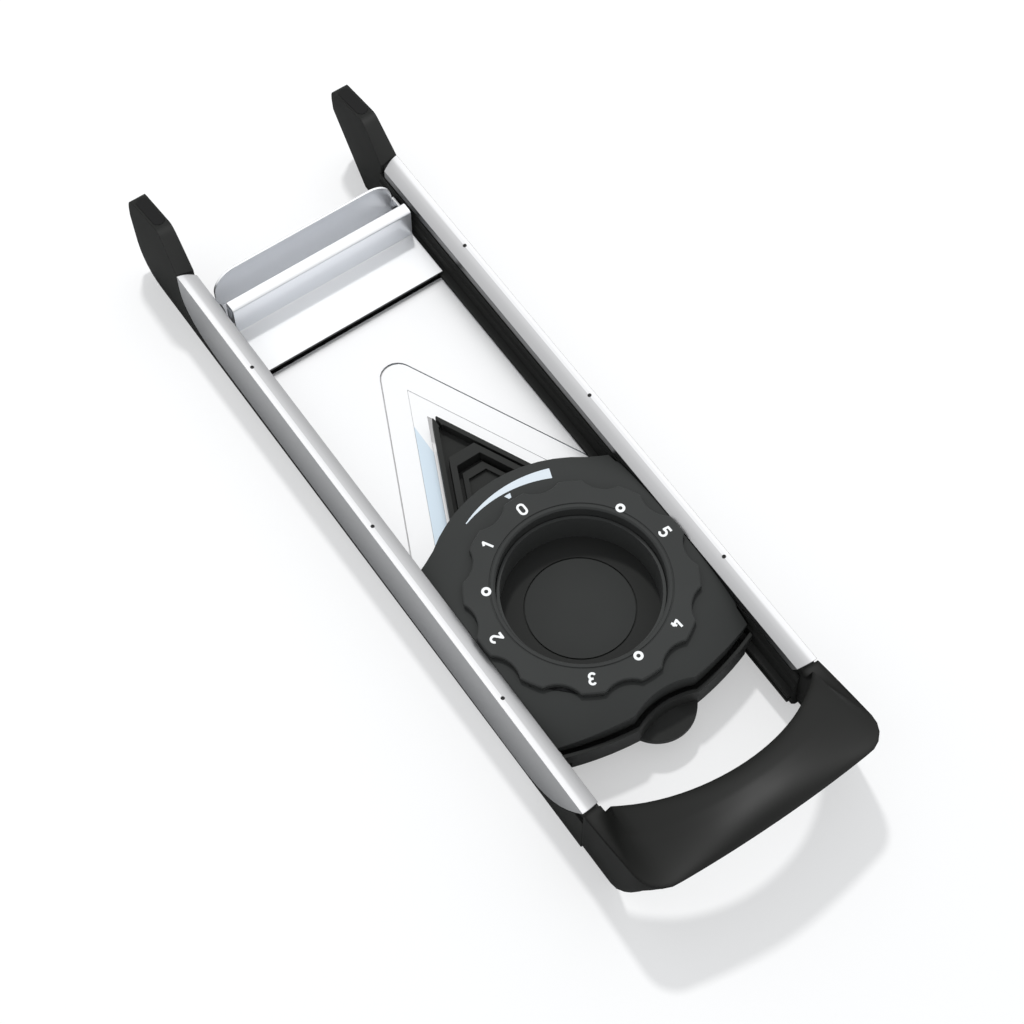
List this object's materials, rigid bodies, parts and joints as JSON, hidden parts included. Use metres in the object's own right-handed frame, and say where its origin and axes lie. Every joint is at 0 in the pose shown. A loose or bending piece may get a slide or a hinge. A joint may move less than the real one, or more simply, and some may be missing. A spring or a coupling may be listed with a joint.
{
  "type": "mandoline slicer",
  "caption": "V-blade mandoline slicer with aluminium-capped rails, arched grip, curled feet, a folded bowl hook and a scalloped dial that lifts the ramp",
  "frame": {"origin": "centre of the footprint, on the plane that the rails' long edges rest on with the dial side up", "axes": "+X across the rails, +Y along the rails towards the curled feet, +Z away from the food side, towards the dial"},
  "size_m": [0.1202, 0.4085, 0.0635],
  "materials": {
    "black_plastic": "fine texture, satin",
    "dial_plastic": "fine texture, satin, white numbers",
    "ramp_plastic": "smooth, satin",
    "cover_aluminium": "satin anodised",
    "sheet_steel": "bright rolled sheet",
    "blade_steel": "ground bevel",
    "dark_steel": "blackened",
    "screw_steel": "plain",
    "white_nylon": "smooth",
    "pad_rubber": "matt",
    "white_print": "pad-printed numbers and rings",
    "pale_print": "pad-printed wedge mark"
  },
  "bodies": {
    "frame": {"left_rail": "black_plastic", "right_rail": "black_plastic", "handle": "black_plastic", "left_cover": "cover_aluminium", "right_cover": "cover_aluminium", "cover_pins": "dark_steel", "handle_screws": "screw_steel", "deck_plate": "sheet_steel", "v_blade": "blade_steel", "hook_bracket": "sheet_steel", "bracket_rivets": "dark_steel", "housing": "black_plastic", "housing_screws": "screw_steel", "friction_ring": "white_nylon", "click_spring": "screw_steel", "click_screw": "screw_steel", "guide_pins": "screw_steel", "left_foot_pad": "pad_rubber", "right_foot_pad": "pad_rubber"},
    "dial": {"dial": "dial_plastic", "retaining_clip": "screw_steel"},
    "ramp": {"ramp": "ramp_plastic", "lift_collar": "ramp_plastic", "collar_screws": "screw_steel", "floor_disc": "ramp_plastic"}
  },
  "joints": [
    {"name": "dial_turn", "type": "hinge", "parent": "frame", "child": "dial", "pos_m": [0, -0.07005, 0.0336], "axis": [0, 0, -1], "range_deg": [0, 300]},
    {"name": "ramp_lift", "type": "slide", "parent": "frame", "child": "ramp", "axis": [0, 0, 1], "range_m": [0, 0.0055]}
  ],
  "couplings": [
    {"joint": "ramp_lift", "follows": "dial_turn", "m_per_rad": 0.00105}
  ]
}
